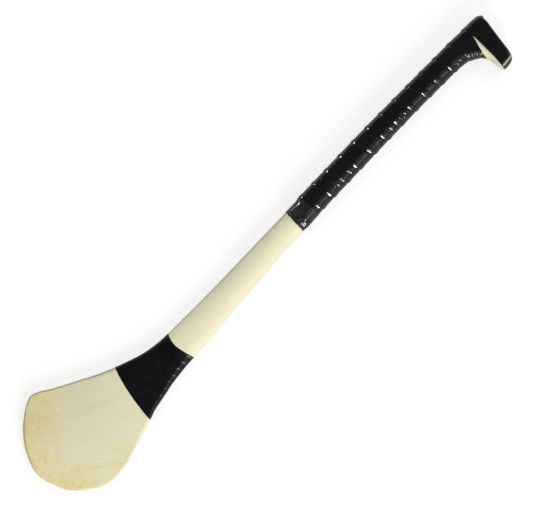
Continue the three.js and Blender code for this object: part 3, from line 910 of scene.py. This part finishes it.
def strip_piece():
    """The strip as one wound length: its raised lip, its face and its underside, closed round."""
    turn = TURNS[:, None]
    lower = strip_lower(TURNS)[:, None]
    width = strip_upper(TURNS)[:, None] - lower
    lip = np.array(LIP_PLACES)[None, :] * np.minimum(width / STRIP_WIDTH, 1)
    last = lip[:, -1:]
    face = last + (width - last) * np.arange(1, FACE_STEPS + 1)[None, :] / FACE_STEPS
    top = np.concatenate([lip, face], axis=1)
    under = width * np.array(UNDERSIDE_SHARES)[None, :]

    rides = ease(*RIDE_START_TURNS, turn - FIRST_TURN) * (1 - ease(*RIDE_END_TURNS, turn))
    layer = (STRIP_THICKNESS + STRIP_LAYER_GAP) * ease(*SECOND_LAYER_TURNS, turn)
    base = flat_height(width - top) + STRIP_SLACK * ease(*STRIP_SLACK_TURNS, turn) + layer
    puffs = [noise.noise(Vector((t * LIP_PUFFS_PER_TURN, 4.0, 0.0))) for t in TURNS]
    crest = LIP_CREST * (1 + LIP_PUFF_SHARE * np.array(puffs)[:, None])
    lone_edge = base - (base - STRIP_LONE_EDGE) * (1 - ease(0, STRIP_LONE_EDGE_REACH, top))
    top_height = lip_profile(top, base, crest) * rides + lone_edge * (1 - rides)
    from_turn_below = np.maximum(STRIP_OVERLAP - under, 0)
    riding = flat_height(from_turn_below) - STRIP_UNDERSIDE_PRESS
    under_height = riding * rides + STRIP_UNDERSIDE_BED * (1 - rides) + layer
    height = np.concatenate([top_height, under_height], axis=1)

    from_lower = np.concatenate([top, under], axis=1)
    level = lower + from_lower
    whole_turn = np.broadcast_to(turn, level.shape)
    folds, creased = crease_heights(wood_place(level, whole_turn, height), whole_turn)
    folds[:, top.shape[1]:] = 0
    near_lower, near_upper = FOLD_EDGE_REACH
    folds *= ease(0, near_lower, from_lower) * ease(0, near_upper, width - from_lower)
    places = closed_round(wood_place(level, whole_turn, height + folds))

    rubbed_low, rubbed_high = LIP_PALE_HEIGHTS
    pale_lip = np.clip((top_height - rubbed_low) / (rubbed_high - rubbed_low), 0, 1)
    rubbed_and_sheen = np.zeros(level.shape)
    rubbed_and_sheen[:, :top.shape[1]] = LIP_PALE_SHARE * pale_lip * rides
    layers = {
        "rubbed_and_sheen": closed_round(rubbed_and_sheen),
        "creased": closed_round(creased) / CREASE_FULL_DEPTH,
        "painted_bend_highlight": bend_highlight_shares(places, turn),
        "slack_film": closed_round(ease(*SLACK_FILM_REACH, from_lower)),
    }
    return grid_piece("grip_strip_wound", places, layers, ends=True)


polyurethane = black_material(
    "grip_polyurethane", dark=(0.003, 0.003, 0.0033), light=(0.0075, 0.0073, 0.0073),
    roughness=(0.1, 0.15), specular=0.47, pebble=1300.0, lines=260.0, waves=(120.0, 12.0),
    depth=0.012 * MM, creases=5.0,
)
settle(strip_piece(), "grip_strip", polyurethane)


# Tapes

TAPE_UNDERSIDE = 0.03
NECK_TAPE_ROWS = 190
FINISHING_TAPE_ROWS = 120
LINE_PASSES = 8


def share_across():
    """Each point's share of the way from the wood's left edge to its right edge."""
    side_to_side = wood[:, RIGHT_EDGE:RIGHT_EDGE + 1] - wood[:, :1]
    return ((wood - wood[:, :1]) * side_to_side).sum(axis=2) / (side_to_side ** 2).sum(axis=2)


across_wood = share_across()[..., None]


def level_line(line, start):
    """Levels at every side where a line given by the share across meets the wood."""
    level = np.full(SIDES + 1, float(start))
    for _ in range(LINE_PASSES):
        row = np.interp(level, levels, np.arange(len(levels)))
        across = sampled(across_wood, row, np.arange(SIDES + 1.0))[..., 0]
        level = line(np.clip(across, 0, 1))
    return level


def band_piece(name, low, high, raised, rows):
    """A wound band between two level lines that follow the share across, with its wall."""
    turn = np.linspace(0, 1, SIDES + 1)
    bottom = level_line(low, low(0.5))
    top = level_line(high, high(0.5))
    along = np.linspace(0, 1, rows)[:, None]
    level = bottom + (top - bottom) * along
    whole_turn = np.broadcast_to(turn, level.shape)
    height, crests = raised(along, whole_turn, level)
    outer = wood_place(level, whole_turn, height)
    inner = wood_place(level[::-1], whole_turn, TAPE_UNDERSIDE)
    places = np.concatenate([outer, inner, outer[:1]], axis=0)
    rubbed_and_sheen = np.zeros(places.shape[:2])
    # Painted sheen on the turns' crests
    rubbed_and_sheen[:rows] = crests
    return grid_piece(name, places, {"rubbed_and_sheen": rubbed_and_sheen, "slack_film": np.ones(places.shape[:2])})


def neck_low(across):
    """Level of the neck tape's edge on the bas."""
    return NECK_TAPE_START - NECK_TAPE_TILT * across - NECK_TAPE_SAG * (1 - (2 * across - 1) ** 2)


def neck_high(across):
    """Level of the neck tape's edge on the shaft."""
    return NECK_TAPE_END - NECK_TAPE_DIP * (1 - np.abs(2 * across ** 0.75 - 1) ** 1.6)


def neck_height(along, turn, level):
    """Height of the lapped turns, each a step up and an even slope down, and their edges' painted
    highlight, strongest at the rim.
    """
    phase = (along * NECK_TAPE_TURNS - turn + NECK_TAPE_LEAD_SHARE) % 1
    steps = ease(0, 0.2, phase) * (1 - ease(0.2, 1.0, phase))
    on_rim = ease(*NECK_RIM_START_SHARES, turn) * (1 - ease(*NECK_RIM_END_SHARES, turn))
    height = NECK_TAPE_BED + NECK_TAPE_STEP * steps * (0.5 + 1.6 * on_rim)
    return height, ease(0, 0.3, steps) * (0.5 + 2.5 * on_rim)


def foot_low(across):
    """Level of the finishing tape's lower edge."""
    return GRIP_FOOT - FINISHING_TAPE_TILT * across


def foot_high(across):
    """Level of the finishing tape's upper edge, square across."""
    return GRIP_FOOT + FINISHING_TAPE_RISE + 0 * across


def foot_height(along, turn, level):
    """Height of the beaded turns that climb onto the strip's foot, and the painted sheen on their bead
    crests.
    """
    foot = strip_foot(turn)
    before, after = FINISHING_TAPE_CLIMB_REACH
    climb = FINISHING_TAPE_CLIMB * ease(foot - before, foot + after, level)
    beads = 0.5 - 0.5 * np.cos(2 * math.pi * (along * FINISHING_TAPE_TURNS + 2 * turn))
    pressed = ease(*PRESSED_START_SHARES, turn) * (1 - ease(*PRESSED_END_SHARES, turn))
    beads = beads * (1 - ease(*FINISHING_TAPE_BEADED_SHARES, along)) * (1 - PRESSED_SHARE * pressed)
    last_edge = 1 - ease(FINISHING_TAPE_END_SHARE, 1, along)
    layers = (FINISHING_TAPE_STEP * beads + FINISHING_TAPE_LAYER) * last_edge
    return FINISHING_TAPE_BED + layers + climb, ease(0.3, 0.9, beads)


neck_tape = band_piece("neck_tape_wound", neck_low, neck_high, neck_height, NECK_TAPE_ROWS)
# Its light tone serves smudges, scuffs and the painted highlight on the edges at the rim
satin = black_material(
    "satin_tape", dark=(0.0026, 0.0028, 0.0037), light=(0.006, 0.006, 0.0078),
    roughness=(0.3, 0.38), specular=0.25, pebble=1800.0, lines=500.0, waves=(160.0, 5.0),
    depth=0.01 * MM,
)
settle(neck_tape, "neck_tape", satin)

foot_tape = band_piece("finishing_tape_wound", foot_low, foot_high, foot_height, FINISHING_TAPE_ROWS)
# Its light tone serves smudges, scuffs and the painted sheen on the bead crests
gloss = black_material(
    "gloss_tape", dark=(0.0022, 0.0022, 0.0027), light=(0.034, 0.034, 0.034),
    roughness=(0.12, 0.18), specular=0.5, pebble=900.0, lines=300.0, waves=(140.0, 12.0),
    depth=0.008 * MM,
)
settle(foot_tape, "finishing_tape", gloss)


# Camera, from straight above, with the stick turned in the picture
VIEW_TURN = math.radians(43.2)
VIEW_CENTRE = (15.05 * MM, -1.77 * MM)
VIEW_WIDTH = 592.1 * MM
LENS = 182
SENSOR = 36
middle_height = (cad_box[0].z + cad_box[1].z) / 2

camera_data = bpy.data.cameras.new("camera")
camera_data.lens = LENS
camera_data.sensor_width = SENSOR
camera = put_in_scene("camera", camera_data)
camera.location = (*VIEW_CENTRE, middle_height + VIEW_WIDTH * LENS / SENSOR)
camera.rotation_euler = (0, 0, VIEW_TURN)
bpy.context.scene.camera = camera


# Floor: grey to the object's light, and white to the camera

FLOOR_SIZE = 6
FLOOR_GREY = 0.35
FLOOR_GLOW = 0.72
REFLECTED_SHARE = 0.6


def floor_plane():
    """A wide square under the object."""
    bm = bmesh.new()
    bmesh.ops.create_grid(bm, x_segments=1, y_segments=1, size=FLOOR_SIZE)
    floor = finished(bm, "floor")
    return floor


def seen_rays(tree):
    """1 for rays of the camera and of glass, and a share for reflections."""
    path = add_node(tree, "ShaderNodeLightPath")
    seen = math_node(tree, "MAXIMUM", path.outputs["Is Camera Ray"], path.outputs["Is Transmission Ray"])
    return math_node(tree, "MAXIMUM", seen, times(tree, path.outputs["Is Glossy Ray"], REFLECTED_SHARE))


floor_grey = (FLOOR_GREY, FLOOR_GREY, FLOOR_GREY, 1)
floor_values = {"Roughness": 0.9, "Base Color": floor_grey, "Specular IOR Level": 0}
floor_material, floor_tree, floor_shader = new_material("floor_paint", (0.9, 0.9, 0.9), floor_values)
floor_shader.inputs["Emission Color"].default_value = (1, 1, 1, 1)
glow = times(floor_tree, seen_rays(floor_tree), FLOOR_GLOW)
floor_tree.links.new(glow, floor_shader.inputs["Emission Strength"])
floor_plane().data.materials.append(floor_material)


# A plain room: pale walls under a dark ceiling, brighter and warmer on the hook's side
WALL_LIGHT = 0.45
FAR_WALL_LIGHT = 0.15
CEILING_LIGHT = 0.12
BRIGHT_SIDE_LIGHT = 0.3
WARM = (1, 0.86, 0.68, 1)

world = bpy.data.worlds.new("studio")
world.use_nodes = True
bpy.context.scene.world = world
room = world.node_tree
way = add_node(room, "ShaderNodeSeparateXYZ")
room.links.new(add_node(room, "ShaderNodeTexCoord").outputs["Generated"], way.inputs[0])
wall = range_node(room, way.outputs["X"], -0.75, -0.1, FAR_WALL_LIGHT, WALL_LIGHT)
over_ceiling = math_node(room, "SUBTRACT", wall, CEILING_LIGHT)
on_wall = range_node(room, way.outputs["Z"], 0.3, 0.8, 1.0, 0.0)
room_light = math_node(room, "MULTIPLY_ADD", on_wall, over_ceiling, CEILING_LIGHT)
bright_side = range_node(room, way.outputs["X"], 0.35, 1.0)
room_light = math_node(room, "MULTIPLY_ADD", bright_side, BRIGHT_SIDE_LIGHT, room_light)
room.links.new(room_light, room.nodes["Background"].inputs["Strength"])
tint = blend_node(room, bright_side, (1, 1, 1, 1), WARM)
room.links.new(tint, room.nodes["Background"].inputs["Color"])


# Lamps: a long key for the glints along the seams, soft ones for the wood and the rims
GRIP_MIDDLE = Vector((13 * MM, 190 * MM, 15 * MM))
LAMP_DISTANCE = 3


def soft_box(name, direction, size, power, colour=(1, 1, 1), reflected=True):
    """A soft box in a direction from the grip, with its long side over the stick's own width."""
    data = bpy.data.lights.new(name, "AREA")
    data.shape = "RECTANGLE"
    data.size, data.size_y = size
    data.energy = power
    data.color = colour
    lamp = put_in_scene(name, data)
    away = Vector(direction).normalized()
    side = Vector((0, 1, 0)).cross(away).normalized()
    lamp.rotation_euler = Matrix((side, away.cross(side), away)).transposed().to_euler()
    lamp.location = GRIP_MIDDLE + away * LAMP_DISTANCE
    lamp.visible_glossy = reflected


soft_box("key_light", (0.785, -0.44, 0.44), (2.2, 0.13), 57)
soft_box("sheen_light", (0.6, 0.02, 0.8), (1.7, 1.6), 3.2, (1, 0.96, 0.9))
soft_box("fill_light", (-0.25, 0.7, 0.66), (3.6, 2.4), 53, reflected=False)
soft_box("left_light", (-0.6, -0.42, 0.68), (1.6, 1.6), 9, reflected=False)
soft_box("side_light", (0.8, 0.02, 0.6), (0.28, 1.4), 4.5, (1, 0.95, 0.86))
soft_box("rim_light", (-0.93, -0.36, 0.09), (0.25, 0.3), 15)

bpy.context.scene.view_settings.view_transform = "Standard"
